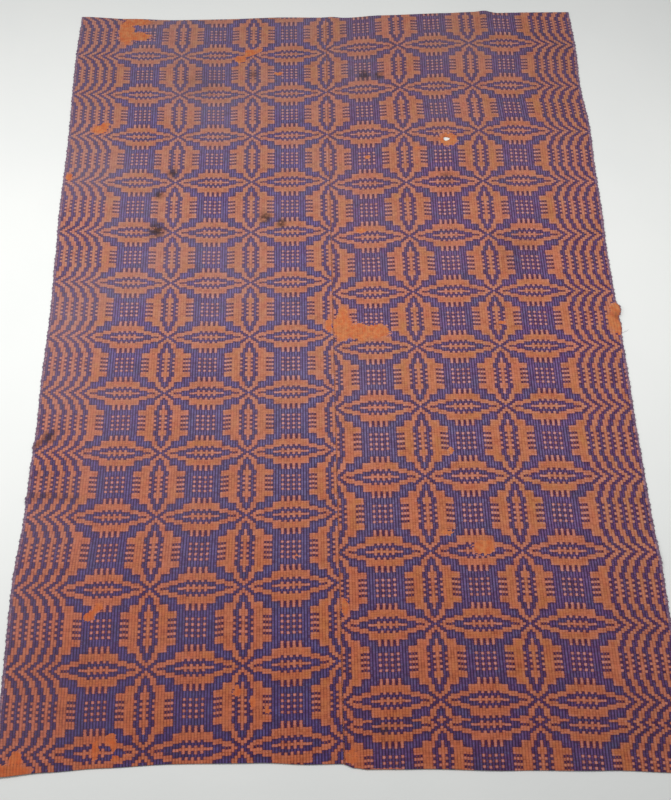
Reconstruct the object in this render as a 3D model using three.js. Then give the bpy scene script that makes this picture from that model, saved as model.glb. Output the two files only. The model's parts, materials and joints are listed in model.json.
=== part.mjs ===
// A handwoven bed coverlet made of two loom widths sewn together, spread flat with its face up.
//
// Millimetres. The origin is on the floor under the middle of the coverlet. +X runs across it to the
// right, +Y along the centre seam towards its far end, and +Z up.
//
// Each loom width is one panel. Its two cut ends are turned under into narrow hems, each sewn down
// with a thread of its own. The side edges are woven selvedges. The two inner selvedges are sewn
// edge to edge, and the coverlet folds in half along that seam.

import * as THREE from "three";

// Driving dimensions.
const WIDTH = 1700;
const LENGTH = 2378;
const CLOTH_THICKNESS = 1.8;
const HEM_THICKNESS = 3.6;
const HEM_DEPTH = 26;

// The opening between the two inner selvedges, which the seam thread closes.
const SEAM_OPENING = 2.6;

// The air left between two pieces that touch.
const CLEARANCE = 0.3;

// Sewing threads, each one cord that waves from side to side once in every stitch.
const THREAD_RADIUS = 0.4;
const THREAD_SIDES = 5;
const STEPS_PER_STITCH = 4;
const SEAM_STITCH = 40;
const SEAM_SWING = 0.5;
const HEM_STITCH = 30;
const HEM_SWING = 0.8;
const HEM_THREAD_INSET = 1.6;

// How far each outer selvedge lies inside the full width. Each entry is [share of the length from
// the near end, millimetres].
const LEFT_SELVEDGE = [
  [0, 15], [0.08, 5], [0.2, 0], [0.28, 11], [0.33, 13], [0.38, 17], [0.44, 15], [0.53, 18],
  [0.6, 15], [0.67, 10], [0.78, 12], [0.92, 6], [1, 10],
];
const RIGHT_SELVEDGE = [
  [0, 14], [0.08, 6], [0.2, 5], [0.26, 9], [0.37, 11], [0.44, 9], [0.55, 10], [0.6, 11],
  [0.66, 6], [0.72, 5], [0.79, 0], [0.86, 9], [0.93, 3], [1, 7],
];

// How far each end lies inside the full length. Each entry is [share of the panel's width from the
// seam outwards, millimetres].
const LEFT_NEAR_END = [
  [0, 40], [0.09, 40], [0.25, 47], [0.5, 49], [0.7, 44], [0.86, 38], [1, 31],
];
const RIGHT_NEAR_END = [
  [0, 38], [0.03, 30], [0.07, 26], [0.2, 24], [0.5, 15], [0.75, 10], [1, 0],
];
const LEFT_FAR_END = [
  [0, 22], [0.2, 19], [0.4, 23], [0.6, 22], [0.8, 13], [1, 0],
];
const RIGHT_FAR_END = [
  [0, 22], [0.09, 25], [0.23, 17], [0.5, 12], [0.6, 9], [0.65, 9], [0.71, 15], [1, 16],
];

const CLOTH_MATERIAL = { color: 0x9a5f55, roughness: 0.95, metalness: 0 };
const HEM_MATERIAL = { color: 0xb56a48, roughness: 0.95, metalness: 0 };
const THREAD_MATERIAL = { color: 0x5a2f3c, roughness: 0.9, metalness: 0 };

const coverlet = new THREE.Group();

function addMesh(name, geometry, material) {
  const mesh = new THREE.Mesh(geometry, new THREE.MeshStandardMaterial(material));
  mesh.name = name;
  coverlet.add(mesh);
  return mesh;
}

// The value of a list of [place, value] entries at any place between its first and last.
function valueAt(entries, place) {
  const clamped = THREE.MathUtils.clamp(place, 0, 1);
  const next = Math.max(1, entries.findIndex((entry) => entry[0] >= clamped));
  const [fromPlace, fromValue] = entries[next - 1];
  const [toPlace, toValue] = entries[next];
  return THREE.MathUtils.mapLinear(clamped, fromPlace, toPlace, fromValue, toValue);
}

// One loom width. side is -1 for the left panel and 1 for the right one.
class LoomWidth {
  constructor(side, selvedge, nearEnd, farEnd) {
    this.side = side;
    this.selvedge = selvedge;
    this.ends = { near: nearEnd, far: farEnd };
    this.seamX = (side * SEAM_OPENING) / 2;
    this.reach = { near: this.reachAt(-LENGTH / 2), far: this.reachAt(LENGTH / 2) };
  }

  // The outer selvedge's x at a distance y along the coverlet.
  outerX(y) {
    return this.side * (WIDTH / 2 - valueAt(this.selvedge, y / LENGTH + 0.5));
  }

  // How far it is from the seam to the outer selvedge.
  reachAt(y) {
    return Math.abs(this.outerX(y));
  }

  // A point on one end, moved inwards along the length by inset.
  endPoint(end, x, inset) {
    const share = Math.abs(x) / this.reach[end];
    const direction = end === "far" ? 1 : -1;
    return new THREE.Vector2(x, direction * (LENGTH / 2 - valueAt(this.ends[end], share) - inset));
  }

  // The line across one end from the seam to the outer selvedge, moved inwards by inset.
  endLine(end, inset) {
    const shares = this.ends[end].map((entry) => entry[0]).slice(1, -1);
    const inner = shares.map((share) => this.side * share * this.reach[end]);
    const cornerY = this.endPoint(end, this.side * this.reach[end], inset).y;
    return [this.seamX, ...inner, this.outerX(cornerY)].map((x) => this.endPoint(end, x, inset));
  }

  // The outer selvedge from the near hem to the far hem.
  selvedgeLine(nearY, farY) {
    const places = this.selvedge.map((entry) => (entry[0] - 0.5) * LENGTH);
    return places.filter((y) => y > nearY && y < farY).map((y) => new THREE.Vector2(this.outerX(y), y));
  }
}

// A flat piece of cloth with this outline, lying on the floor.
function clothSlab(outline, thickness) {
  return new THREE.ExtrudeGeometry(new THREE.Shape(outline), { depth: thickness, bevelEnabled: false });
}

// The cloth between the two hems.
function panelGeometry(loomWidth) {
  const nearLine = loomWidth.endLine("near", HEM_DEPTH + CLEARANCE);
  const farLine = loomWidth.endLine("far", HEM_DEPTH + CLEARANCE);
  const selvedge = loomWidth.selvedgeLine(nearLine.at(-1).y, farLine.at(-1).y);
  return clothSlab([...nearLine, ...selvedge, ...farLine.reverse()], CLOTH_THICKNESS);
}

// One cut end, turned under on itself.
function hemGeometry(loomWidth, end) {
  const outline = [...loomWidth.endLine(end, 0), ...loomWidth.endLine(end, HEM_DEPTH).reverse()];
  return clothSlab(outline, HEM_THICKNESS);
}

// A curve that follows pointAt(t, swing), where swing goes from -1 to 1 and back in each stitch.
class StitchedCurve extends THREE.Curve {
  constructor(stitches, pointAt) {
    super();
    this.stitches = stitches;
    this.pointAt = pointAt;
    this.arcLengthDivisions = stitches * STEPS_PER_STITCH * 4;
  }

  getPoint(t) {
    return this.pointAt(t, Math.sin(2 * Math.PI * this.stitches * t));
  }
}

// A thread along that curve.
function threadGeometry(stitches, pointAt) {
  const section = new THREE.Shape();
  for (let corner = 0; corner < THREAD_SIDES; corner += 1) {
    const angle = (2 * Math.PI * corner) / THREAD_SIDES;
    const [across, up] = [THREAD_RADIUS * Math.cos(angle), THREAD_RADIUS * Math.sin(angle)];
    if (corner === 0) section.moveTo(across, up);
    else section.lineTo(across, up);
  }
  section.closePath();
  return new THREE.ExtrudeGeometry(section, {
    steps: stitches * STEPS_PER_STITCH,
    extrudePath: new StitchedCurve(stitches, pointAt),
  });
}

// The thread that sews the two inner selvedges together, in the opening between them.
function seamThreadGeometry() {
  const nearY = -LENGTH / 2 + Math.max(LEFT_NEAR_END[0][1], RIGHT_NEAR_END[0][1]);
  const farY = LENGTH / 2 - Math.max(LEFT_FAR_END[0][1], RIGHT_FAR_END[0][1]);
  return threadGeometry(Math.round((farY - nearY) / SEAM_STITCH), (t, swing) => new THREE.Vector3(
    SEAM_SWING * swing,
    THREE.MathUtils.lerp(nearY, farY, t),
    CLOTH_THICKNESS / 2,
  ));
}

// The thread that sews one hem down, lying on the panel beside the hem's inner edge.
function hemThreadGeometry(loomWidth, end) {
  const line = loomWidth.endLine(end, HEM_DEPTH);
  const startX = loomWidth.seamX + loomWidth.side * 2 * THREAD_RADIUS;
  const stopX = line.at(-1).x - loomWidth.side * 2 * THREAD_RADIUS;
  const height = CLOTH_THICKNESS + CLEARANCE + THREAD_RADIUS;
  return threadGeometry(Math.round(Math.abs(stopX - startX) / HEM_STITCH), (t, swing) => {
    const x = THREE.MathUtils.lerp(startX, stopX, t);
    const point = loomWidth.endPoint(end, x, HEM_DEPTH + HEM_THREAD_INSET + HEM_SWING * swing);
    return new THREE.Vector3(point.x, point.y, height);
  });
}

const loomWidths = {
  left: new LoomWidth(-1, LEFT_SELVEDGE, LEFT_NEAR_END, LEFT_FAR_END),
  right: new LoomWidth(1, RIGHT_SELVEDGE, RIGHT_NEAR_END, RIGHT_FAR_END),
};

for (const [name, loomWidth] of Object.entries(loomWidths)) {
  addMesh(`${name}_panel`, panelGeometry(loomWidth), CLOTH_MATERIAL);
  for (const end of ["near", "far"]) {
    addMesh(`${name}_${end}_hem`, hemGeometry(loomWidth, end), HEM_MATERIAL);
    addMesh(`${name}_${end}_hem_thread`, hemThreadGeometry(loomWidth, end), THREAD_MATERIAL);
  }
}
addMesh("centre_seam_thread", seamThreadGeometry(), THREAD_MATERIAL);

export default coverlet;
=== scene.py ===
"""A handwoven coverlet of two loom widths, spread flat with its face up on a pale floor.

Metres, in the CAD model's frame. The pattern isn't painted: the cloth's materials work it out from the
weave's draft, by a rib number across each panel and a row number along it. A rib is one block of warp,
and a row is one block of pattern picks.
"""

import json
import math

import bpy
import numpy as np
from mathutils import Matrix, Vector


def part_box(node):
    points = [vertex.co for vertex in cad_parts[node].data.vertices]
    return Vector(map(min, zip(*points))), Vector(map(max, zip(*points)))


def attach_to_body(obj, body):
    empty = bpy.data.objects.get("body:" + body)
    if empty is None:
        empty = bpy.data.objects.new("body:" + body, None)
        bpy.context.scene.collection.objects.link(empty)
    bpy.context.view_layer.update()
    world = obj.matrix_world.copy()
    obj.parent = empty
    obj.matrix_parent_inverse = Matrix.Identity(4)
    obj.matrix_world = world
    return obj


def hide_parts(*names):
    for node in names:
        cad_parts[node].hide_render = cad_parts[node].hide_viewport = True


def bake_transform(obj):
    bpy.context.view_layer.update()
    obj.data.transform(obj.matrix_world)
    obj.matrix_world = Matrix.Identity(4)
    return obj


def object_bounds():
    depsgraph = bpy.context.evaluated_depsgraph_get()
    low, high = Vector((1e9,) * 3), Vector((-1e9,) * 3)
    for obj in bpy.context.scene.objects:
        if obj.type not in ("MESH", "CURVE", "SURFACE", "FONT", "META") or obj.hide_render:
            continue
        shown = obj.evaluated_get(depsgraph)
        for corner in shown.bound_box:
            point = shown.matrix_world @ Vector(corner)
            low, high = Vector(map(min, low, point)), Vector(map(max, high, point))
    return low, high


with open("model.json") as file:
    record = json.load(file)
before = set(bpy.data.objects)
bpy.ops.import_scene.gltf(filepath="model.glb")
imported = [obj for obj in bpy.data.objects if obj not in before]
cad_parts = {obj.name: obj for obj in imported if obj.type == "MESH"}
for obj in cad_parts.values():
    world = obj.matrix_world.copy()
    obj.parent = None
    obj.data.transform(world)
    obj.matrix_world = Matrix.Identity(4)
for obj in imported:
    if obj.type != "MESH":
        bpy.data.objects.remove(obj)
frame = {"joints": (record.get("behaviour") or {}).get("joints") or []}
cad_low, cad_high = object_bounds()

# ---- sizes

WIDTH = cad_high.x - cad_low.x
LENGTH = cad_high.y - cad_low.y
SEAM_X = frame["joints"][0]["pos_m"][0]

# One layer of cloth, and the two layers of a hem.
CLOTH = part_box("left_panel")[1].z
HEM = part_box("left_near_hem")[1].z
# How far each end is turned under, and how much of that belongs to the panel's own mesh.
HEM_DEPTH = 0.026
HEM_SHOWN = 0.005
# Edges are rounded over this distance, with lines of points at these steps inside them.
EDGE_ROUND = 0.001
EDGE_STEPS = np.array([0, 0.0004, EDGE_ROUND])
SELVEDGE_STEPS = np.array([0, 0.00012, 0.0004, EDGE_ROUND, 0.0022])
# How far each panel stops short of the seam's middle.
SEAM_TOUCH = 0.0002
# How far the ribs stand up, how far and how widely the seam does, and the most that the cloth lifts.
RIB_RELIEF = 0.00022
SEAM_RIDGE = 0.0007
SEAM_RIDGE_REACH = 0.0028
LIFT_LIMIT = 0.0092

SEAM_STITCH = 0.0060
HEM_STITCH = 0.009
LOOP_SPACING = 0.0029
SEAM_THREAD_RADIUS = 0.00055
HEM_THREAD_RADIUS = 0.00038
LOOP_RADIUS = 0.00072
LOOSE_END_RADIUS = 0.0003

# ---- the weave's draft

# Each letter is a block. A rib is threaded on one, and a row brings the pattern weft up over two.
BLOCKS = "abcd"
THREADING = "abcd" + "aaabbbccc" + "dcdcdcd" + "cccbbbaaa" + "dcb"
TREADLING = (
    ["ab", "bc", "cd", "da"]
    + ["ab"] * 3 + ["bc"] * 3 + ["cd"] * 3
    + ["bc", "cd"] * 3 + ["bc"]
    + ["cd"] * 3 + ["bc"] * 3 + ["ab"] * 3
    + ["da", "cd", "bc"]
)
REPEAT = len(THREADING)
RIBS = 112
BORDER_RIB = 96
# How much closer together the ribs are at the outer selvedge than halfway across, as a share.
DRAWN_IN = 0.01
PICKS_IN_ROW = 4
# How tall each row of a repeat is beside the others: the long blocks' rows are beaten in closer.
ROW_HEIGHTS = [5.4] * 4 + [4.9] * 9 + [6.0] * 7 + [4.9] * 9 + [5.4] * 3

# ---- outline, as the CAD model has it

# How far each outer selvedge lies inside the full width: (share of the length from the near end, metres).
LEFT_SELVEDGE = [
    (0, 0.015), (0.08, 0.005), (0.2, 0), (0.28, 0.011), (0.33, 0.013), (0.38, 0.017),
    (0.44, 0.015), (0.53, 0.018), (0.6, 0.015), (0.67, 0.010), (0.78, 0.012), (0.92, 0.006),
    (1, 0.010),
]
RIGHT_SELVEDGE = [
    (0, 0.014), (0.08, 0.006), (0.2, 0.005), (0.26, 0.009), (0.37, 0.011), (0.44, 0.009),
    (0.55, 0.010), (0.6, 0.011), (0.66, 0.006), (0.72, 0.005), (0.79, 0), (0.86, 0.009),
    (0.93, 0.003), (1, 0.007),
]
# How far each end lies inside the full length: (share of the panel's width from the seam, metres).
LEFT_NEAR_END = [
    (0, 0.040), (0.09, 0.040), (0.25, 0.047), (0.5, 0.049), (0.7, 0.044), (0.86, 0.038),
    (1, 0.031),
]
RIGHT_NEAR_END = [
    (0, 0.038), (0.03, 0.030), (0.07, 0.026), (0.2, 0.024), (0.5, 0.015), (0.75, 0.010), (1, 0),
]
LEFT_FAR_END = [
    (0, 0.022), (0.2, 0.019), (0.4, 0.023), (0.6, 0.022), (0.8, 0.013), (1, 0),
]
RIGHT_FAR_END = [
    (0, 0.022), (0.09, 0.025), (0.23, 0.017), (0.5, 0.012), (0.6, 0.009), (0.65, 0.009),
    (0.71, 0.015), (1, 0.016),
]

# ---- age: creases, worn places and stains, with painted shadow and glare

# Slight waves from years of folding: (share of the height, pace across and along, start).
WAVE_HEIGHT = 0.0006
WAVES = [
    (0.50, 9, 3, 0.4), (0.45, 4, -11, 1.9), (0.30, 23, 7, 2.6), (0.30, -13, 19, 0.8),
    (0.20, 31, -37, 4.1),
]
# The cloth lifts off the floor along these creases: (from, to, half width, height).
CREASES = [
    ((-0.870, -0.375), (-0.766, -0.273), 0.008, 0.0080),
    ((-0.870, -0.500), (-0.776, -0.468), 0.008, 0.0075),
    ((-0.860, -0.418), (-0.786, -0.404), 0.020, 0.0040),
    ((0.550, 1.210), (0.545, 1.110), 0.024, 0.0060),
    ((0.016, 1.190), (0.045, 1.114), 0.020, 0.0035),
    ((0.860, 0.032), (0.780, 0.020), 0.030, 0.0070),
    ((-0.845, 0.222), (-0.777, 0.251), 0.025, 0.0035),
    ((0.860, -0.680), (0.770, -0.698), 0.040, 0.0045),
    ((-0.850, -1.155), (-0.745, -1.134), 0.025, 0.0040),
]
# Where the ground cloth bulges past the right selvedge: (y, half length, how far).
BULGES = [(0.035, 0.018, 0.008), (-0.020, 0.018, 0.004)]
# A broken weft sticks out beside the bulges.
LOOSE_END_Y = -0.037
LOOSE_END_REACH = 0.025

# Where the pattern weft has worn away and the ground shows: (x, y, half width, half length).
WORN = [
    (-0.680, 1.118, 0.030, 0.062), (-0.640, 1.161, 0.042, 0.016), (-0.633, 1.098, 0.042, 0.022),
    (-0.289, 0.992, 0.022, 0.019), (-0.256, 1.019, 0.024, 0.017), (-0.226, 1.033, 0.018, 0.009),
    (-0.161, 0.926, 0.018, 0.009), (-0.739, 0.716, 0.030, 0.020), (-0.722, 0.734, 0.016, 0.011),
    (-0.822, 0.536, 0.013, 0.013), (0.028, 0.000, 0.031, 0.050), (0.030, 0.045, 0.016, 0.020),
    (0.075, -0.018, 0.034, 0.032), (0.122, -0.016, 0.050, 0.025), (-0.012, 0.006, 0.012, 0.026),
    (-0.643, -0.796, 0.018, 0.013), (-0.621, -0.772, 0.018, 0.011), (-0.601, -1.105, 0.011, 0.024),
    (-0.566, -1.083, 0.016, 0.016), (-0.557, -1.098, 0.008, 0.014), (-0.551, -1.124, 0.011, 0.008),
    (-0.812, -1.145, 0.066, 0.014), (-0.790, -1.122, 0.018, 0.022), (-0.260, -0.980, 0.014, 0.013),
    (-0.221, -1.006, 0.009, 0.014), (-0.184, -1.024, 0.013, 0.009), (-0.114, -0.657, 0.012, 0.008),
    (0.093, 0.322, 0.018, 0.012), (0.123, 0.589, 0.011, 0.008), (0.280, 0.617, 0.020, 0.008),
    (0.386, 0.653, 0.031, 0.029), (0.495, 0.003, 0.013, 0.007), (0.317, -0.379, 0.010, 0.012),
    (0.290, -0.605, 0.018, 0.011), (0.384, -0.645, 0.033, 0.022), (0.019, -1.134, 0.017, 0.021),
    (0.085, -1.167, 0.090, 0.006), (0.013, -0.786, 0.010, 0.024), (0.850, 0.034, 0.038, 0.028),
    (0.838, 0.010, 0.042, 0.014), (0.850, -0.020, 0.038, 0.034), (0.832, -0.008, 0.026, 0.018),
]
# Stains: (x, y, radius, depth of colour). The ones at (-0.796, -0.316) and (0.838, 0.012) are painted
# shadow, on the first crease and between the bulges.
STAINS_AND_SHADOWS = [
    (-0.534, 0.337, 0.022, 1.0), (-0.495, 0.544, 0.014, 0.9), (-0.534, 0.465, 0.012, 0.9),
    (-0.201, 0.374, 0.015, 1.0), (-0.152, 0.354, 0.013, 0.9), (-0.245, 0.927, 0.014, 0.6),
    (0.124, 0.916, 0.016, 0.9), (0.173, 0.915, 0.014, 0.8), (0.369, 0.508, 0.018, 0.5),
    (-0.796, -0.316, 0.015, 0.8), (0.100, -1.079, 0.010, 0.7), (-0.375, -0.155, 0.045, 0.10),
    (-0.420, 0.900, 0.060, 0.2), (0.560, 0.240, 0.060, 0.2), (0.838, 0.012, 0.014, 0.4),
]
# Painted shadow along two creases: (from, to, half width, depth of colour).
CREASE_SHADOWS = [
    ((-0.850, -0.474), (-0.700, -0.489), 0.009, 0.60),
    ((-0.838, -0.347), (-0.780, -0.297), 0.008, 0.70),
]
# The one place that is worn right through: (x, y, half width, half length).
HOLE = (0.381, 0.655, 0.0105, 0.0075)
# Where light has faded the pattern weft most, and where it is painted lightest, as glare.
MOST_FADED_AND_GLARE = (0.02, -0.42, 0)


def smooth_value(entries, place):
    """The value of a list of (place, value) at any place, easing in and out of each entry."""
    places, values = (np.array(column, float) for column in zip(*entries))
    place = np.clip(place, places[0], places[-1])
    step = np.clip(np.searchsorted(places, place, side="right") - 1, 0, len(places) - 2)
    share = (place - places[step]) / (places[step + 1] - places[step])
    ease = share * share * (3 - 2 * share)
    return values[step] + (values[step + 1] - values[step]) * ease


class LoomWidth:
    """One panel: where its edges run, and which rib and row of the weave lies where.

    ribs are the rib numbers at the seam and at the outer selvedge. rises are how far the rows curve up
    at the seam and at the selvedge, for the near end, the middle and the far end. A star row is the
    first of a repeat, and far_star is the farthest one's y. repeats are the (rows, metres) from each
    star row to the next, as unevenly as the cloth was beaten.
    """

    def __init__(self, name, side, selvedge, near_end, far_end, ribs, rises, far_star, repeats):
        self.name = name
        self.side = side
        self.selvedge = selvedge
        self.ends = {"near": near_end, "far": far_end}
        self.first_rib, self.last_rib = ribs
        self.rises = np.array(rises)
        self.row_counts = np.array([count for count, _ in repeats])
        self.star_rows = np.concatenate([[0], np.cumsum(self.row_counts)])
        self.star_places = far_star - np.concatenate([[0], np.cumsum([length for _, length in repeats])])

    def edge_x(self, y):
        """The outer selvedge, before any bulge."""
        return self.side * (WIDTH / 2 - smooth_value(self.selvedge, y / LENGTH + 0.5))

    def end_y(self, end, share):
        """The folded edge of one end, at this share of the width from the seam."""
        direction = 1 if end == "far" else -1
        return direction * (LENGTH / 2 - smooth_value(self.ends[end], share))

    def rib(self, share):
        """The rib number. The ribs are slightly closer towards the outer selvedge."""
        span = self.last_rib - self.first_rib
        return self.first_rib + share * span * (1 - DRAWN_IN * (1 - share))

    def rise(self, share, y):
        """How far a row is above its own middle, at this share of the width from the seam."""
        at = 2 * y / LENGTH
        weights = np.array([at * (at - 1) / 2, 1 - at * at, at * (at + 1) / 2])
        at_seam, at_selvedge = np.tensordot(self.rises.T, weights, axes=1)
        across = 2 * share - 1
        return (at_selvedge - at_seam) / 2 * across + (at_selvedge + at_seam) / 2 * across ** 2

    def row(self, share, y):
        """The row number at a place: whole where a row starts, and half in its middle."""
        y = y - self.rise(share, y)
        step = np.clip(np.searchsorted(-self.star_places, -y) - 1, 0, len(self.row_counts) - 1)
        part = (self.star_places[step] - y) / (self.star_places[step] - self.star_places[step + 1])
        counts = self.row_counts[step]
        within = np.where(counts == REPEAT, row_in_repeat(part), part * counts)
        return self.star_rows[step] + within + 0.5


def row_in_repeat(part):
    """The row within a repeat, from one star row's middle to the next, with each row its own height."""
    tops = np.concatenate([[0], np.cumsum(ROW_HEIGHTS * 3)])
    total = sum(ROW_HEIGHTS)
    places = total + ROW_HEIGHTS[0] / 2 + np.clip(part, -0.9, 1.9) * total
    return np.interp(places, tops, np.arange(len(tops))) - REPEAT - 0.5


def repeats_of(*lengths_mm):
    """Whole repeats of these lengths."""
    return [(REPEAT, length / 1000) for length in lengths_mm]


LEFT = LoomWidth(
    "left", -1, LEFT_SELVEDGE, LEFT_NEAR_END, LEFT_FAR_END, ribs=(0, RIBS),
    rises=[(0.013, -0.003), (-0.002, 0.0145), (0.005, 0.0095)], far_star=1.180,
    repeats=repeats_of(171, 162, 167, 174, 181, 172, 177, 172, 174, 175, 186, 194, 185, 213),
)
# After twelve whole repeats the right panel has one of ten rows: the first eight and the last two.
SHORT_FIGURE = 10
SHORT_FROM_ROW = 12 * REPEAT + 8
SHORT_SKIP = REPEAT - SHORT_FIGURE
RIGHT = LoomWidth(
    "right", 1, RIGHT_SELVEDGE, RIGHT_NEAR_END, RIGHT_FAR_END, ribs=(0.7, RIBS + 0.4),
    rises=[(0.002, -0.023), (0.001, -0.010), (-0.023, -0.019)], far_star=1.2135,
    repeats=repeats_of(169, 179, 181, 192, 194, 192, 177, 183, 200, 201, 183, 179)
    + [(SHORT_FIGURE, 0.056)] + repeats_of(174),
)

# ---- how the cloth lies


def undulation(x, y):
    """The slight waves, never below the floor."""
    waves = sum(share * np.sin(across * x + along * y + start) for share, across, along, start in WAVES)
    return WAVE_HEIGHT * (sum(share for share, *_ in WAVES) + waves)


def along_crease(x, y, start, end, half_width):
    """1 on a crease, falling to 0 beside it and past its inner end."""
    run = np.subtract(end, start)
    share = np.clip(((x - start[0]) * run[0] + (y - start[1]) * run[1]) / (run @ run), 0, 1)
    away = np.hypot(x - start[0] - share * run[0], y - start[1] - share * run[1])
    return np.exp(-(away / half_width) ** 2) * (1 - 0.6 * share)


def lift(x, y):
    """How high the cloth's underside is off the floor."""
    height = undulation(x, y)
    for start, end, half_width, rise in CREASES:
        height = height + rise * along_crease(x, y, start, end, half_width)
    seam_ridge = SEAM_RIDGE * np.exp(-((x - SEAM_X) / SEAM_RIDGE_REACH) ** 2)
    return np.minimum(height, LIFT_LIMIT) + seam_ridge


def bulge(y):
    """How far the ground cloth bulges past the right selvedge."""
    return sum(reach * np.exp(-((y - middle) / half) ** 4) for middle, half, reach in BULGES)


def worn(x, y):
    """1 where the pattern weft has worn away, 0 where it is sound, and between them at the edges."""
    patches = [
        1.5 - np.hypot((x - middle_x) / half_x, (y - middle_y) / half_y)
        for middle_x, middle_y, half_x, half_y in WORN
    ]
    return np.clip(np.max(patches, axis=0), 0, 1)


def stained(x, y):
    """How dark the stains and the painted shadows are, from 0 to 1."""
    stains = [
        depth * np.clip(1.6 - np.hypot(x - middle_x, y - middle_y) / radius, 0, 1)
        for middle_x, middle_y, radius, depth in STAINS_AND_SHADOWS
    ]
    crease_shadow = [depth * along_crease(x, y, *crease) for *crease, depth in CREASE_SHADOWS]
    return np.max(stains + crease_shadow, axis=0)


# ---- meshes

# How many rows of points each panel has, and where more lie closer together: (y, how far each way, rows).
POINT_ROWS = {"left": 158, "right": 152}
CLOSE_ROWS = {
    "left": [(-0.330, 0.055, 18), (-0.492, 0.035, 12)],
    "right": [(HOLE[1], 0.013, 9), (0.010, 0.060, 24)],
}


def make_object(name, vertices, faces, **attributes):
    """A mesh object with smooth faces and point attributes, a float or a vector each."""
    mesh = bpy.data.meshes.new(name)
    mesh.from_pydata(np.asarray(vertices).tolist(), [], faces)
    for key, values in attributes.items():
        values = np.asarray(values, np.float32)
        kind, field = ("FLOAT_VECTOR", "vector") if values.ndim == 2 else ("FLOAT", "value")
        mesh.attributes.new(key, kind, "POINT").data.foreach_set(field, values.ravel())
    mesh.polygons.foreach_set("use_smooth", [True] * len(mesh.polygons))
    mesh.update()
    thing = bpy.data.objects.new(name, mesh)
    bpy.context.scene.collection.objects.link(thing)
    return thing


def grid_faces(index):
    """The four-sided faces of a grid of vertex numbers."""
    return np.stack([index[:-1, :-1], index[:-1, 1:], index[1:, 1:], index[1:, :-1]], -1)


# The four sides of a cell: its first corner, its second corner, and the way to the cell next door.
CELL_SIDES = [
    ((0, 0), (0, 1), (-1, 0)),
    ((0, 1), (1, 1), (0, 1)),
    ((1, 1), (1, 0), (1, 0)),
    ((1, 0), (0, 0), (0, -1)),
]


def hole_walls(top, under, gone):
    """Faces round the rim of the cells that are gone, from the upper layer down to the lower one."""
    walls = []
    for cell in np.argwhere(gone):
        for first, second, beside in CELL_SIDES:
            if gone[tuple(cell + beside)]:
                continue
            start, stop = tuple(cell + first), tuple(cell + second)
            walls.append([top[start], top[stop], under[stop], under[start]])
    return np.array(walls, int).reshape(-1, 4)


def cloth_sheet(name, top, under, side, gone=None, **attributes):
    """A closed sheet from two layers of points that meet all round the border.

    The attributes are (upper, lower) pairs of grids. The lower layer's border is the upper layer's.
    """
    rows, columns = top.shape[:2]
    top_index = np.arange(rows * columns).reshape(rows, columns)
    under_index = top_index.copy()
    inner = (slice(1, -1), slice(1, -1))
    under_count = (rows - 2) * (columns - 2)
    under_index[inner] = rows * columns + np.arange(under_count).reshape(rows - 2, columns - 2)
    vertices = np.concatenate([top.reshape(-1, 3), under[inner].reshape(-1, 3)])
    if gone is None:
        gone = np.zeros((rows - 1, columns - 1), bool)
    upper = grid_faces(top_index)[~gone]
    lower = grid_faces(under_index)[~gone][:, ::-1]
    faces = np.concatenate([upper, lower, hole_walls(top_index, under_index, gone)])
    if side < 0:
        faces = faces[:, ::-1]

    # A point of no face, such as one inside a hole, is left out.
    used, faces = np.unique(faces, return_inverse=True)
    values = {}
    for key, (upper_grid, lower_grid) in attributes.items():
        parts = upper_grid, lower_grid[inner]
        values[key] = np.concatenate([part.reshape(-1, *part.shape[2:]) for part in parts])[used]
    return make_object(name, vertices[used], faces.reshape(-1, 4).tolist(), **values)


def half_thickness(distance):
    """Half the cloth's thickness at this distance inside a rounded edge."""
    inside = np.clip(distance / EDGE_ROUND, 0, 1)
    return CLOTH / 2 * np.sqrt(1 - (1 - inside) ** 2)


def panel_columns(loom):
    """Shares of the panel's width: two columns to a rib, and closer ones at the rounded edges."""
    close = SELVEDGE_STEPS / (WIDTH / 2)
    middle = (np.arange(1.5, RIBS - 0.6, 0.5) - loom.first_rib) / (loom.last_rib - loom.first_rib)
    return np.concatenate([close, middle[(middle > 0.004) & (middle < 0.996)], 1 - close[::-1]])


def end_profile():
    """The folded end in section, from the turned-under part round the fold and down to the panel.

    Each entry is (inset from the fold, height of the cloth's middle).
    """
    under = [(inset, CLOTH / 2) for inset in (HEM_SHOWN, 0.0046, 0.0030)]
    fold = [math.radians(angle) for angle in range(-90, 91, 30)]
    turn = [(CLOTH - CLOTH / 2 * math.cos(a), HEM / 2 + CLOTH / 2 * math.sin(a)) for a in fold]
    over = [(inset, HEM - CLOTH / 2) for inset in (0.004, 0.008, 0.013, 0.018, 0.022)]
    slope = [(-0.001, 0.94), (0.001, 0.72), (0.003, 0.38), (0.006, 0.08), (0.010, 0)]
    down = [(HEM_DEPTH + away, CLOTH / 2 + (HEM - CLOTH) * left) for away, left in slope]
    return np.array(under + turn + over + down)


def panel_rows(loom):
    """Where the rows of points lie: the section of the folded ends, where it stops, and the rows between.

    The rows between are shares of the length between the two ends.
    """
    profile = end_profile()
    start = profile[-1, 0] + 0.006
    shares = list(np.linspace(0, 1, POINT_ROWS[loom.name]))
    span = LENGTH - 2 * start
    for middle_y, reach, count in CLOSE_ROWS[loom.name]:
        middle = (middle_y + LENGTH / 2 - start) / span
        shares = [share for share in shares if abs(share - middle) * span > reach + 0.001]
        shares += [middle + away / span for away in np.linspace(-reach, reach, count)]
    return profile, start, np.sort(shares)


def spread(loom, columns, y):
    """Each point's share of the width, its x, and how far it is inside the nearer selvedge."""
    share = np.broadcast_to(columns, y.shape)
    inner = SEAM_X + loom.side * SEAM_TOUCH
    reach = loom.edge_x(y) - inner
    return share, inner + share * reach, np.minimum(share, 1 - share) * np.abs(reach)


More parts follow.
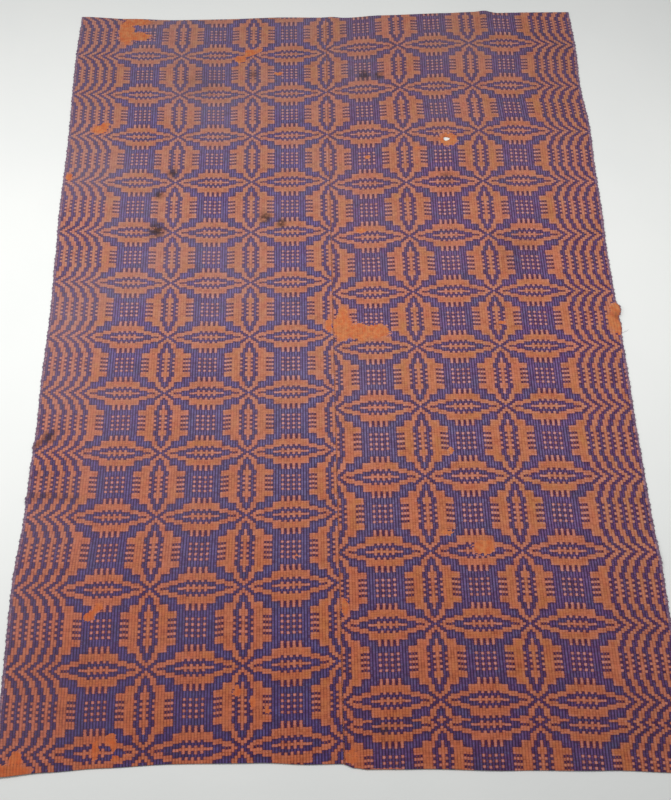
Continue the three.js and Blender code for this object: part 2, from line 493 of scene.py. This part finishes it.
def panel_grid(loom):
    """The columns, and for each point its y, the height of the cloth's middle and the weave's own y."""
    profile, start, shares = panel_rows(loom)
    columns = panel_columns(loom)
    near, far = loom.end_y("near", columns), loom.end_y("far", columns)
    near_rows = [(near + inset, height) for inset, height in profile]
    far_rows = [(far - inset, height) for inset, height in profile[::-1]]
    between = [(near + start + share * (far - near - 2 * start), CLOTH / 2) for share in shares]
    rows = near_rows + between + far_rows
    y = np.array([row[0] for row in rows])
    height = np.array([row[1] for row in rows])[:, None] + np.zeros_like(y)
    steps = np.hypot(np.diff(y[:, 0]), np.diff(height[:, 0]))
    length_along = np.concatenate([[0], np.cumsum(steps)])

    # Past the fold the weave carries on, as far beyond the end as the cloth goes on underneath.
    fold = int(np.argmin(profile[:, 0]))
    weave_y = y.copy()
    past_fold = (length_along[fold] - length_along[:fold])[:, None]
    weave_y[:fold] = near - past_fold
    weave_y[-fold:] = far + past_fold[::-1]
    return columns, y, height, weave_y


def panel_points(loom):
    """Both layers of one panel and their weave attributes, as cloth_sheet takes them."""
    columns, y, height, weave_y = panel_grid(loom)
    share, x, sideways = spread(loom, columns, y)
    if loom is RIGHT:
        x = x + bulge(y) * np.clip((share - 0.955) / 0.045, 0, 1) ** 2
    rib, row = loom.rib(share), loom.row(share, weave_y)
    height = height + lift(x, y)
    slope_y, slope_z = np.gradient(y, axis=0), np.gradient(height, axis=0)
    long = np.hypot(slope_y, slope_z)
    normal = np.stack([np.zeros_like(x), -slope_z / long, slope_y / long], -1)
    lengthways = np.concatenate([EDGE_STEPS, np.ones(len(y) - 2 * len(EDGE_STEPS)), EDGE_STEPS[::-1]])
    half = np.minimum(half_thickness(sideways), half_thickness(lengthways[:, None]))[..., None]
    middle = np.stack([x, y, height], -1)
    relief = RIB_RELIEF * np.abs(np.sin(np.pi * rib))[..., None] * (half > CLOTH / 2 * 0.98)
    top = middle + normal * (half + relief)
    under = middle - normal * half
    weave = np.stack([rib, row, np.zeros_like(rib)], -1)
    return top, under, weave, x, y


def hole_in(loom, top, under):
    """Which cells of the grid are worn right through, with the rim's points drawn out to an uneven ring."""
    gone = np.zeros((top.shape[0] - 1, top.shape[1] - 1), bool)
    if loom is not RIGHT:
        return gone
    x, y, half_x, half_y = HOLE
    middles = (top[:-1, :-1] + top[1:, 1:]) / 2
    away = np.hypot((middles[..., 0] - x) / half_x, (middles[..., 1] - y) / half_y)
    gone = away < 1
    touched = np.zeros(top.shape[:2], bool)
    for down in (0, 1):
        for across in (0, 1):
            touched[down:down + gone.shape[0], across:across + gone.shape[1]] |= gone
    for layer in (top, under):
        offset = layer[touched][:, :2] - (x, y)
        angle = np.arctan2(offset[:, 1] / half_y, offset[:, 0] / half_x)
        ragged = 1 + 0.13 * np.sin(3 * angle + 1) + 0.08 * np.sin(7 * angle)
        ring = np.stack([half_x * np.cos(angle), half_y * np.sin(angle)], -1) * ragged[:, None]
        distance = np.hypot(offset[:, 0] / half_x, offset[:, 1] / half_y)
        layer[touched, :2] = np.where((distance > 0.7)[:, None], (x, y) + ring, layer[touched][:, :2])
    return gone


def make_panel(loom, material):
    top, under, weave, x, y = panel_points(loom)
    gone = hole_in(loom, top, under)
    below = weave + (0, 0, 1)
    wear = worn(x, y)
    stain = stained(x, y)
    panel = cloth_sheet(
        f"{loom.name}_panel_cloth", top, under, loom.side, gone,
        weave=(weave, below), wear=(wear, wear), stain=(stain, stain),
    )
    panel.data.materials.append(material)
    return panel


def make_hem(loom, end, material):
    """The turned-under layer of one end, below the panel's own cloth."""
    columns = panel_columns(loom)[::2]
    columns[-1] = 1
    outer_edge = HEM_SHOWN + np.array([0.0003, 0.0006, 0.0014])
    inner_edge = HEM_DEPTH - EDGE_STEPS[::-1]
    insets = np.concatenate([outer_edge, [0.010, 0.014, 0.018, 0.022], inner_edge])
    direction = 1 if end == "near" else -1
    fold = loom.end_y(end, columns)
    y = fold + direction * insets[:, None]
    share, x, sideways = spread(loom, columns, y)
    lengthways = np.minimum(insets - insets[0], insets[-1] - insets)[:, None]
    half = np.minimum(half_thickness(sideways), half_thickness(lengthways))
    height = CLOTH / 2 + lift(x, y) * 0.98
    top = np.stack([x, y, height + half], -1)
    under = np.stack([x, y, height - half], -1)
    turned_y = fold - direction * insets[:, None]
    weave = np.stack([loom.rib(share), loom.row(share, turned_y), np.ones_like(x)], -1)
    wear = worn(x, y)
    hem = cloth_sheet(
        f"{loom.name}_{end}_turned_hem", top, under, loom.side * direction,
        weave=(weave, weave - (0, 0, 1)), wear=(wear, wear), stain=(wear * 0, wear * 0),
    )
    hem.data.materials.append(material)
    return hem


def make_yarns(name, paths, radius, sides, across, material):
    """One mesh of closed round yarns.

    paths is (yarns, points, 3), and across is a direction never along them. The strand attribute is
    (metres along the yarn, share of the way round it, the yarn's number).
    """
    paths = np.asarray(paths, float)
    count, points = paths.shape[:2]
    tangent = np.gradient(paths, axis=1)
    tangent /= np.linalg.norm(tangent, axis=-1, keepdims=True)
    first = np.cross(tangent, across)
    first /= np.linalg.norm(first, axis=-1, keepdims=True)
    second = np.cross(tangent, first)
    angle = 2 * np.pi * np.arange(sides) / sides
    ring = first[:, :, None] * np.cos(angle)[:, None] + second[:, :, None] * np.sin(angle)[:, None]
    vertices = paths[:, :, None] + radius * ring
    index = np.arange(count * points * sides).reshape(count, points, sides)
    wrapped = np.concatenate([index, index[:, :, :1]], 2)
    faces = np.concatenate([grid_faces(yarn) for yarn in wrapped]).reshape(-1, 4).tolist()
    faces += index[:, 0, ::-1].tolist() + index[:, -1].tolist()
    steps = np.linalg.norm(np.diff(paths, axis=1), axis=-1)
    run = np.concatenate([np.zeros((count, 1)), np.cumsum(steps, 1)], 1)[:, :, None]
    round_it = angle[None, None, :] / (2 * np.pi)
    number = np.arange(count)[:, None, None]
    strand = np.stack(np.broadcast_arrays(run, round_it, number), -1).reshape(-1, 3)
    yarns = make_object(name, vertices.reshape(-1, 3), faces, strand=strand)
    yarns.data.materials.append(material)
    return yarns


# ---- materials


class Shader:
    """A material's node tree, built by joining sockets and numbers."""

    def __init__(self, name, roughness, sheen):
        self.material = bpy.data.materials.new(name)
        self.material.use_nodes = True
        self.tree = self.material.node_tree
        self.surface = self.tree.nodes["Principled BSDF"]
        self.fill(self.surface, {"Roughness": roughness, "Specular IOR Level": 0.15})
        self.fill(self.surface, {"Sheen Weight": sheen, "Sheen Roughness": 0.6})

    def node(self, kind, **settings):
        made = self.tree.nodes.new(kind)
        for key, value in settings.items():
            setattr(made, key, value)
        return made

    def join(self, value, socket):
        if isinstance(value, bpy.types.NodeSocket):
            self.tree.links.new(value, socket)
        else:
            socket.default_value = value

    def fill(self, made, inputs):
        for key, value in inputs.items():
            self.join(value, made.inputs[key])

    def math(self, operation, *values):
        made = self.node("ShaderNodeMath", operation=operation)
        for value, socket in zip(values, made.inputs):
            self.join(value, socket)
        return made.outputs[0]

    def times(self, a, b):
        return self.math("MULTIPLY", a, b)

    def times_plus(self, a, b, c):
        return self.math("MULTIPLY_ADD", a, b, c)

    def inverse(self, value):
        return self.math("SUBTRACT", 1.0, value)

    def attribute(self, name):
        return self.node("ShaderNodeAttribute", attribute_name=name)

    def vector(self, x, y, z=0.0):
        made = self.node("ShaderNodeCombineXYZ")
        for value, socket in zip((x, y, z), made.inputs):
            self.join(value, socket)
        return made.outputs[0]

    def parts(self, vector):
        """The x, y and z of a vector."""
        made = self.node("ShaderNodeSeparateXYZ")
        self.join(vector, made.inputs[0])
        return made.outputs

    def noise(self, vector, scale, detail=2.0):
        made = self.node("ShaderNodeTexNoise")
        self.fill(made, {"Vector": vector, "Scale": scale, "Detail": detail})
        return made.outputs["Fac"]

    def random(self, vector):
        """A number from 0 to 1 that changes with every step of the vector."""
        made = self.node("ShaderNodeTexWhiteNoise", noise_dimensions="3D")
        self.join(vector, made.inputs["Vector"])
        return made.outputs["Value"]

    def fade(self, value, low, high):
        """0 at low, 1 at high, and a straight line between them."""
        made = self.node("ShaderNodeMapRange")
        self.fill(made, {"Value": value, "From Min": low, "From Max": high})
        return made.outputs["Result"]

    def jitter(self, value, cell, reach):
        """The value moved up or down by as much as half of reach, differently in each cell."""
        return self.times_plus(self.random(cell), reach, self.math("SUBTRACT", value, reach / 2))

    def wave(self, value, waves=1):
        """Up from 0 to 1 and down again, so many times in each whole step of the value."""
        return self.math("ABSOLUTE", self.math("SINE", self.times(value, math.pi * waves)))

    def mix(self, share, a, b, kind="RGBA"):
        """a where share is 0, b where it is 1, and a mixture between them."""
        made = self.node("ShaderNodeMix", data_type=kind)
        self.fill(made, {"Factor": share, "A": a, "B": b})
        return made.outputs["Result"]

    def tint(self, base, share, most, tone):
        """The base mixed with the tone, up to most of it where share is 1."""
        return self.mix(self.times(share, most), base, tone)

    def steps(self, numbers, place):
        """The number at a whole place in a repeating list of numbers from 0 to 3."""
        made = self.node("ShaderNodeValToRGB")
        ramp = made.color_ramp
        ramp.interpolation = "CONSTANT"
        changes = [i for i in range(len(numbers)) if i == 0 or numbers[i] != numbers[i - 1]]
        ramp.elements.remove(ramp.elements[1])
        for position in changes[1:]:
            ramp.elements.new(position / len(numbers))
        for element, position in zip(ramp.elements, changes):
            element.color = [numbers[position] / 3] * 3 + [1]
        middle = self.math("ADD", self.math("FLOOR", place), 0.5)
        self.join(self.math("FRACT", self.math("DIVIDE", middle, float(len(numbers)))), made.inputs["Fac"])
        return self.times(made.outputs["Color"], 3.0)

    def finish(self, base, height, distance):
        """The material, with this colour and with bumps as high as distance."""
        self.join(base, self.surface.inputs["Base Color"])
        bump = self.node("ShaderNodeBump")
        self.fill(bump, {"Strength": 1.0, "Distance": distance, "Height": height})
        self.join(bump.outputs["Normal"], self.surface.inputs["Normal"])
        return self.material


def colour(red, green, blue):
    """A colour from 0 to 255 on each channel, as a shader takes it."""
    def linear(value):
        value = value / 255
        return value / 12.92 if value <= 0.04045 else ((value + 0.055) / 1.055) ** 2.4
    return (linear(red), linear(green), linear(blue), 1)


ORANGE_OCHRE = colour(190, 126, 72)
ORANGE_RED = colour(196, 104, 76)
ORANGE_DEEP = colour(132, 62, 42)
ORANGE_BARE = colour(204, 106, 60)
ORANGE_FADED = colour(208, 136, 84)
ORANGE_UNFADED_SHADED = colour(216, 96, 46)
PINK = colour(208, 154, 156)
PURPLE = colour(34, 18, 46)
MAGENTA = colour(118, 58, 108)
NAVY = colour(46, 22, 92)
MAROON = colour(84, 26, 52)
SLATE = colour(96, 108, 140)
LILAC = colour(138, 128, 170)
GREY = colour(150, 132, 140)
STAIN_AND_SHADOW_COLOUR = colour(58, 38, 34)
# The orange and the blue of each panel.
LEFT_DYES = colour(197, 129, 97), colour(150, 124, 202)
RIGHT_DYES = colour(203, 126, 93), colour(162, 117, 182)
# The lightest and the darkest of each of these.
LOOP_YARN = colour(168, 136, 152), colour(86, 58, 98)
SEAM_YARN = colour(196, 128, 98), colour(140, 76, 66)
HEM_YARN = colour(150, 90, 66), colour(92, 54, 58)
FLOOR_PAINT = colour(232, 231, 228), colour(224, 224, 222)


def block_at(s, rib):
    """Which block a rib is threaded on. The border goes straight through the blocks, over and over."""
    body = s.steps([BLOCKS.index(letter) for letter in THREADING], rib)
    step = s.math("SUBTRACT", s.math("FLOOR", rib), float(BORDER_RIB))
    border = s.math("FLOORED_MODULO", s.times(step, -1.0), 4.0)
    return s.mix(s.math("GREATER_THAN", rib, float(BORDER_RIB)), body, border, kind="FLOAT")


def first_block_at(s, row):
    """The first of the two blocks that a row brings the pattern weft up over."""
    return s.steps([BLOCKS.index(pair[0]) for pair in TREADLING], row)


def floats_at(s, block, first_block):
    """1 where the pattern weft floats on the face."""
    apart = s.math("FLOORED_MODULO", s.math("ADD", s.math("SUBTRACT", block, first_block), 4.1), 4.0)
    return s.math("LESS_THAN", apart, 1.5)


# The pattern is looked up here and this far to each side, in ribs and in rows.
NEARBY = (0.0, -0.8, 0.8)


class Weave:
    """What a cloth material works out about each place before it picks a colour.

    rib and row are the place in the draft, and cord and pick the whole rib and the whole pick. patterned
    is 1 where the pattern weft floats on the face, around says how much of it floats nearby, and missing
    is 1 where it has worn away. tuft and tone are random numbers for each bit of weft.
    """

    def __init__(self, s, loom):
        self.place = s.node("ShaderNodeTexCoord").outputs["Object"]
        self.across, self.along, _ = s.parts(self.place)
        self.rib, self.row, below = s.parts(s.attribute("weave").outputs["Vector"])
        self.cord = s.math("FLOOR", self.rib)
        self.pick = s.math("FLOOR", s.times(self.row, float(PICKS_IN_ROW)))
        self.find_pattern(s, loom, s.math("GREATER_THAN", below, 0.5))
        self.find_relief(s)
        self.find_fading(s)
        self.fibre = s.noise(self.place, 1400.0, 3.0)

    def find_pattern(self, s, loom, on_back):
        # Each pick's floats start a little early or late, and so do the warp's crossings.
        self.uneven_rib = s.jitter(self.rib, s.vector(self.pick, 3.0), 0.22)
        self.uneven_row = s.jitter(self.row, s.vector(self.cord, 7.0), 0.3)
        if loom is RIGHT:
            skipped = s.math("GREATER_THAN", self.uneven_row, float(SHORT_FROM_ROW))
            self.uneven_row = s.times_plus(skipped, float(SHORT_SKIP), self.uneven_row)

        # The pattern here, and in the eight cells round it. The back is the face turned inside out.
        blocks = [block_at(s, s.math("ADD", self.uneven_rib, step)) for step in NEARBY]
        lifted = [first_block_at(s, s.math("ADD", self.uneven_row, step)) for step in NEARBY]
        here, *others = [floats_at(s, block, first_block) for block in blocks for first_block in lifted]
        patterned = s.math("ABSOLUTE", s.math("SUBTRACT", here, on_back))
        around = 0.0
        for cell in others:
            around = s.times_plus(cell, 1 / len(others), around)
        self.around = s.math("ABSOLUTE", s.math("SUBTRACT", around, on_back))

        # Worn floats are missing one by one, until only the ground is left.
        self.wear = s.attribute("wear").outputs["Fac"]
        tuft_cell = s.vector(self.cord, s.math("FLOOR", s.times(self.row, 2.0)))
        patchy = s.times_plus(s.random(tuft_cell), 0.3, s.noise(self.place, 60.0, 3.0))
        self.missing = s.math("GREATER_THAN", s.math("ADD", self.wear, patchy), 1.22)
        self.patterned = s.times(patterned, s.inverse(self.missing))

    def find_relief(self, s):
        # One cord of warp to each rib with a valley beside it, and a gap between one row and the next.
        self.crown = s.wave(self.rib)
        # The valley and the gap only darken the colour, as painted shade.
        self.valley = s.math("POWER", s.inverse(self.crown), 0.85)
        self.gap = s.inverse(s.wave(self.uneven_row))
        self.tuft = s.random(s.vector(self.cord, self.pick))
        self.tone = s.random(s.vector(self.cord, s.math("FLOOR", self.uneven_row), 2.0))

        # The yarn was dyed in uneven lots, so its colour drifts along each cord.
        lot_cell = s.vector(s.times(self.cord, 0.37), s.times(self.row, 0.21))
        self.lot = s.noise(lot_cell, 1.0, 3.0)

    def find_fading(self, s):
        # Darker towards the near left corner: less faded by light there, and painted shade. Faded most a
        # little short of the middle, where the weft is also painted lighter, as glare.
        near_left = s.times_plus(self.across, -0.5, s.times(self.along, -1.0))
        self.unfaded_and_shaded = s.fade(near_left, 0.2, 1.35)
        distance = s.node("ShaderNodeVectorMath", operation="DISTANCE")
        s.join(self.place, distance.inputs[0])
        s.join(MOST_FADED_AND_GLARE, distance.inputs[1])
        self.faded_and_glare = s.fade(distance.outputs["Value"], 0.75, 0.15)


def ground_shade(s, weave):
    """Painted shade on the ground: darker in the valleys between the cords and in the gaps between the
    rows, more so towards the near left and beside the pattern, and darker here and there by chance.
    """
    uneven_valley = s.times(weave.valley, s.fade(s.noise(weave.place, 38.0, 2.0), 0.1, 0.75))
    depth = s.times_plus(weave.unfaded_and_shaded, 0.5, s.times_plus(weave.tuft, 0.35, 0.36))
    depth = s.times_plus(weave.around, 0.4, depth)
    shade = s.times(uneven_valley, depth)
    shade = s.times_plus(s.math("POWER", weave.tone, 3.0), 0.3, shade)
    shade = s.times_plus(s.times(weave.gap, weave.tuft), 0.35, shade)
    return s.times(shade, s.times_plus(weave.missing, -0.5, 1.0))


def ground_colour(s, weave, orange):
    """Orange, redder or more ochre from yarn to yarn, and pink between pattern wefts."""
    ground = s.mix(s.fade(s.noise(weave.place, 7.0, 3.0), 0.35, 0.7), orange, ORANGE_OCHRE)
    ground = s.tint(ground, s.fade(weave.lot, 0.4, 0.75), 0.75, ORANGE_RED)
    ground = s.tint(ground, s.math("POWER", weave.around, 1.5), 0.95, PINK)
    bare = s.mix(s.fade(s.noise(weave.place, 85.0, 4.0), 0.35, 0.65), ORANGE_BARE, ORANGE_FADED)
    bare = s.tint(bare, s.fade(s.noise(weave.place, 170.0, 2.0), 0.5, 0.7), 0.5, ORANGE_RED)
    ground = s.mix(s.times(weave.missing, s.fade(weave.wear, 0.3, 0.7)), ground, bare)
    # Deeper towards the near left: less faded there, and painted shade.
    ground = s.tint(ground, weave.unfaded_and_shaded, 0.45, ORANGE_UNFADED_SHADED)
    ground = s.tint(ground, s.fade(s.noise(weave.place, 60.0, 4.0), 0.48, 0.75), 0.25, ORANGE_DEEP)
    # Painted shade, towards a deep orange.
    return s.mix(ground_shade(s, weave), ground, ORANGE_DEEP)


def weft_colour(s, weave, blue):
    """Blue in uneven lots. Short floats pull down into the ground and are painted darker and redder, as
    shade. The valleys between the cords and the gaps between the rows are painted shade too.
    """
    weft = s.tint(blue, s.fade(weave.lot, 0.3, 0.75), 0.6, MAGENTA)
    weft = s.tint(weft, s.fade(s.noise(weave.place, 21.0, 2.0), 0.45, 0.7), 0.5, SLATE)
    weft = s.tint(weft, s.fade(weave.tone, 0.6, 0.0), 0.5, SLATE)
    # Lighter a little short of the middle: faded by light, and painted glare.
    weft = s.tint(weft, weave.faded_and_glare, 0.6, LILAC)
    # Darker towards the near left: less faded there, and painted shade.
    weft = s.tint(weft, weave.unfaded_and_shaded, 0.45, NAVY)
    # Short floats sunk into the ground: painted shade.
    weft = s.tint(weft, s.fade(weave.around, 0.85, 0.2), 0.9, MAROON)
    # Painted shade in the valleys between the cords.
    weft = s.mix(weave.valley, weft, PURPLE)
    chance = s.times_plus(weave.tone, 0.44, s.times(weave.tuft, 0.12))
    weft = s.mix(chance, weft, PURPLE)
    # Painted shade in the gaps between the rows, most on short floats.
    return s.mix(s.times(weave.gap, s.fade(weave.around, 1.1, 0.4)), weft, MAROON)


def turned_weft(s, weave, loom, base):
    """Covers the outermost rib with the weft that turns back round it."""
    turn = s.random(s.vector(s.math("FLOOR", s.times(weave.row, 1.6)), 5.0))
    outermost = s.math("GREATER_THAN", weave.uneven_rib, loom.last_rib - 0.9)
    outermost = s.times(outermost, s.inverse(weave.missing))
    return s.tint(base, outermost, 0.75, s.mix(turn, *LOOP_YARN))


def aged_with_glare_and_shadow(s, weave, base):
    """Greys the cloth most towards the far left, as light and dust have and as painted glare, and darkens
    it with stains and painted shadow.
    """
    far_left = s.times_plus(weave.across, -1.3, weave.along)
    dust_and_glare = s.times(s.fade(s.noise(weave.place, 3.1, 5.0), 0.2, 0.7), s.fade(weave.wear, 0.8, 0.2))
    # Greyer towards the far left: dust, fading and painted glare.
    base = s.tint(base, s.times(s.fade(far_left, -0.8, 1.0), dust_and_glare), 0.32, GREY)
    base = s.tint(base, s.fade(weave.fibre, 0.35, 0.75), 0.16, PURPLE)
    blotch = s.fade(s.noise(weave.place, 110.0, 3.0), 0.3, 0.5)
    # Stains, with painted shadow along creases and between the bulges.
    return s.tint(base, s.times(s.attribute("stain").outputs["Fac"], blotch), 0.9, STAIN_AND_SHADOW_COLOUR)


def weave_height(s, weave):
    """Floats stand up over each cord as a stack of picks. The ground is finer and lower."""
    picks = s.times_plus(s.wave(weave.row, PICKS_IN_ROW), 0.3, 0.7)
    float_height = s.times(s.math("POWER", weave.crown, 0.6), picks)
    fine_picks = s.times_plus(s.wave(weave.row, PICKS_IN_ROW * 2), 0.2, 0.5)
    ground_height = s.times(s.times_plus(weave.crown, 0.6, 0.15), fine_picks)
    height = s.mix(weave.patterned, ground_height, float_height, kind="FLOAT")
    return s.times_plus(weave.fibre, 0.2, height)


def cloth_material(loom, orange, blue):
    """The woven cloth. Its colour and bump come from the draft, so the pattern is woven in at any scale."""
    s = Shader(f"{loom.name}_coverlet_weave", roughness=0.92, sheen=0.08)
    weave = Weave(s, loom)

    # A short float dips out of sight between two cords. A long one covers the valley.
    dips = s.times(s.fade(weave.around, 0.55, 0.2), s.fade(weave.crown, 0.62, 0.4))
    seen = s.times(weave.patterned, s.times_plus(dips, -0.75, 1.0))
    base = s.mix(seen, ground_colour(s, weave, orange), weft_colour(s, weave, blue))
    base = turned_weft(s, weave, loom, base)
    base = aged_with_glare_and_shadow(s, weave, base)
    return s.finish(base, weave_height(s, weave), 0.0012)


def yarn_material(name, light, dark, twist):
    """A two-ply yarn. It is one twist from each ply to the next, and each three yarns share a shade."""
    s = Shader(name, roughness=0.85, sheen=0.15)
    along, around, number = s.parts(s.attribute("strand").outputs["Vector"])
    ply = s.wave(s.times_plus(along, 1 / twist, s.times(around, 2.0)))
    place = s.node("ShaderNodeTexCoord").outputs["Object"]
    which = s.random(s.vector(s.math("FLOOR", s.math("DIVIDE", number, 3.0)), 1.0))
    base = s.tint(s.mix(which, light, dark), s.noise(place, 25.0), 0.5, dark)
    # Painted shade in the groove between the plies.
    base = s.tint(base, s.inverse(ply), 0.5, PURPLE)
    height = s.times_plus(s.noise(place, 2500.0), 0.3, ply)
    return s.finish(base, height, 0.0002)


def floor_material():
    """Matt pale paint with the faintest unevenness."""
    s = Shader("pale_floor", roughness=0.9, sheen=0)
    place = s.node("ShaderNodeTexCoord").outputs["Object"]
    base = s.mix(s.noise(place, 2.5, 3.0), *FLOOR_PAINT)
    return s.finish(base, s.noise(place, 40.0, 4.0), 0.0004)


# ---- pieces


def stitches_between(start, stop, stitch, points_per_stitch):
    """Points from start to stop: how many stitches lie before each one, and its place."""
    count = round((stop - start) / stitch)
    turn = np.linspace(0, count, count * points_per_stitch + 1)
    return turn, start + (stop - start) * turn / count


def seam_thread(material):
    """One thread whipped over and under the two inner selvedges, from the near hem to the far one."""
    low = max(LEFT.end_y("near", 0.0), RIGHT.end_y("near", 0.0)) + 0.002
    high = min(LEFT.end_y("far", 0.0), RIGHT.end_y("far", 0.0)) - 0.002
    turn, y = stitches_between(low, high, SEAM_STITCH, 10)
    angle = 2 * np.pi * turn
    # At both ends it goes round the hems, which are twice as thick.
    over_hem = np.clip((HEM_DEPTH + 0.006 - np.minimum(y - low, high - y)) / 0.008, 0, 1)
    thickness = CLOTH + (HEM - CLOTH) * over_hem
    reach = 0.0026 + 0.0006 * np.sin(turn * 1.7)
    x = SEAM_X + reach * np.cos(angle)
    height = thickness / 2 + (thickness / 2 + 0.0003) * np.sin(angle) + lift(x, y)
    path = np.stack([x, y, height], -1)[None]
    thread = make_yarns("centre_seam_whip_stitches", path, SEAM_THREAD_RADIUS, 6, (0, 1, 0.2), material)
    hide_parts("centre_seam_thread")
    return thread


def hem_thread(loom, end, material):
    """The running stitches along the inner edge of one hem, longer on the face than underneath."""
    turn, away = stitches_between(0.004, WIDTH / 2 - 0.030, HEM_STITCH, 9)
    x = SEAM_X + loom.side * away
    share = away / np.abs(loom.edge_x(0.0) - SEAM_X)
    inset = HEM_DEPTH - 0.0012 + 0.0005 * np.sin(turn * 2.3)
    y = loom.end_y(end, share) + (1 if end == "near" else -1) * inset
    # The wave is cut off above and below, so that the stitches lie flat.
    rise = np.clip(np.cos(2 * np.pi * turn) + 0.25, -0.6, 0.6) / 0.6
    middle = CLOTH / 2 + HEM / 4
    height = middle + rise * (middle + 0.0002) + lift(x, y)
    path = np.stack([x, y, height], -1)[None]
    name = f"{loom.name}_{end}_hem_stitches"
    thread = make_yarns(name, path, HEM_THREAD_RADIUS, 5, (0, 1, 0), material)
    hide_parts(f"{loom.name}_{end}_hem_thread")
    return thread


def selvedge_loops(loom, material):
    """The pattern weft turning back round the outermost warp, about a loop for every second pick."""
    number = np.arange(int((LENGTH - 2 * HEM_DEPTH - 0.03) / LOOP_SPACING))
    y = -LENGTH / 2 + HEM_DEPTH + 0.015 + LOOP_SPACING * (number + 0.3 * np.sin(number * 12.9898))
    edge = loom.edge_x(y) + (bulge(y) if loom is RIGHT else 0)

    # Some loops stand out further than others.
    scallop = 0.0014 * np.sin(number * 1.3) + 0.0011 * np.sin(number * 0.37)
    scallop = (scallop + 0.0004 * np.sin(number * 78.2))[:, None]

    # Each loop goes from the face round the edge to the back, and both of its ends run inwards.
    degrees = np.array([100, 82, 60, 30, 0, -30, -60, -82, -100])
    turn = np.radians(degrees)
    out = (0.0016 + scallop * np.clip(np.cos(turn), 0, 1)) * np.cos(turn)
    back = 0.0010 + 0.0022 * np.clip((np.abs(degrees) - 70) / 30, 0, 1)
    x = edge[:, None] + loom.side * (out - back)
    slanted_y = y[:, None] + 0.0012 * np.sin(number * 4.1)[:, None] * np.sin(turn)
    height = CLOTH / 2 + (CLOTH / 2 + 0.00005) * np.sin(turn) + lift(edge, y)[:, None]
    paths = np.stack([x, slanted_y, height], -1)
    return make_yarns(f"{loom.name}_selvedge_loops", paths, LOOP_RADIUS, 5, (0, 1, 0), material)


def loose_end(material):
    """A broken weft that sticks out past the right selvedge beside the bulge."""
    along = np.linspace(0, 1, 9)
    x = RIGHT.edge_x(LOOSE_END_Y) - 0.001 + LOOSE_END_REACH * along
    y = LOOSE_END_Y + 0.009 * along ** 2
    height = 0.0004 + CLOTH / 2 * (1 - along)
    path = np.stack([x, y, height], -1)[None]
    return make_yarns("right_loose_weft_end", path, LOOSE_END_RADIUS, 5, (0, 0, 1), material)


def attach(piece, loom):
    """Attaches a piece of the left panel to the left half's body, so that it moves with it. A piece of the
    right panel keeps its place, with its transform baked into its mesh.
    """
    if loom is LEFT:
        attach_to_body(piece, "left_half")
    else:
        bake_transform(piece)


def make_half(loom, cloth, hem_yarn, loop_yarn):
    """One panel, its two turned hems, their stitches and the yarns at its outer selvedge."""
    panel = make_panel(loom, cloth)
    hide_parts(f"{loom.name}_panel")
    hems = [make_hem(loom, end, cloth) for end in ("near", "far")]
    threads = [hem_thread(loom, end, hem_yarn) for end in ("near", "far")]
    for hem, end in zip(hems, ("near", "far")):
        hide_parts(f"{loom.name}_{end}_hem")
    for piece in (panel, *hems, *threads):
        attach(piece, loom)
    edge = [selvedge_loops(loom, loop_yarn)]
    if loom is RIGHT:
        edge.append(loose_end(loop_yarn))
    for piece in edge:
        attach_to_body(piece, f"{loom.name}_half")


def make_coverlet():
    seam_yarn = yarn_material("seam_thread", *SEAM_YARN, twist=0.0016)
    hem_yarn = yarn_material("hem_thread", *HEM_YARN, twist=0.0014)
    loop_yarn = yarn_material("selvedge_yarn", *LOOP_YARN, twist=0.0022)
    seam = seam_thread(seam_yarn)
    attach(seam, RIGHT)
    for loom, dyes in ((LEFT, LEFT_DYES), (RIGHT, RIGHT_DYES)):
        make_half(loom, cloth_material(loom, *dyes), hem_yarn, loop_yarn)


# ---- floor, light and camera

FLOOR_REACH = 12
FLOOR_Z = -0.0004
DAYLIGHT = (0.93, 0.97, 1.0, 1)
DAYLIGHT_STRENGTH = 0.33
LAMP_TINT = (0.99, 1.0, 0.99)
# Where the photographer's eye is, which way it looks, and which way is up to it.
EYE = Vector((-0.0155, -0.8518, 1.8781))
LOOK = Vector((0.0087, 0.3166, -0.9485)).normalized()
UP = Vector((0.0224, 0.9483, 0.3167))
LENS_MM = 31.5


def make_floor():
    corners = [(FLOOR_REACH * x, FLOOR_REACH * y, FLOOR_Z) for x, y in ((-1, -1), (1, -1), (1, 1), (-1, 1))]
    floor = make_object("floor", corners, [[0, 1, 2, 3]])
    floor.data.materials.append(floor_material())


def add_light(name, place, target, size, watts):
    light = bpy.data.lights.new(name, "AREA")
    light.shape = "RECTANGLE"
    light.size, light.size_y = size
    light.energy = watts
    light.color = LAMP_TINT
    lamp = bpy.data.objects.new(name, light)
    lamp.location = place
    lamp.rotation_euler = (Vector(target) - Vector(place)).to_track_quat("-Z", "Y").to_euler()
    bpy.context.scene.collection.objects.link(lamp)


def make_light():
    world = bpy.data.worlds.new("soft_daylight")
    world.use_nodes = True
    background = world.node_tree.nodes["Background"]
    background.inputs["Color"].default_value = DAYLIGHT
    background.inputs["Strength"].default_value = DAYLIGHT_STRENGTH
    bpy.context.scene.world = world
    add_light("window", (-2.6, 0.1, 1.9), (-0.5, 0, 0), (1.6, 2.0), 18)
    add_light("ceiling_strip", (-0.3, 0.1, 1.95), (-0.3, 0.1, 0), (4.5, 0.4), 53)
    bpy.context.scene.view_settings.view_transform = "Standard"


def make_camera():
    """The photographer stands at the near end and looks down at the coverlet."""
    right = LOOK.cross(UP).normalized()
    turned = Matrix((right, right.cross(LOOK), -LOOK)).transposed().to_4x4()
    data = bpy.data.cameras.new("camera")
    data.sensor_width = 36
    data.lens = LENS_MM
    camera = bpy.data.objects.new("camera", data)
    camera.matrix_world = Matrix.Translation(EYE) @ turned
    bpy.context.scene.collection.objects.link(camera)
    bpy.context.scene.camera = camera


make_camera()
make_coverlet()
make_floor()
make_light()
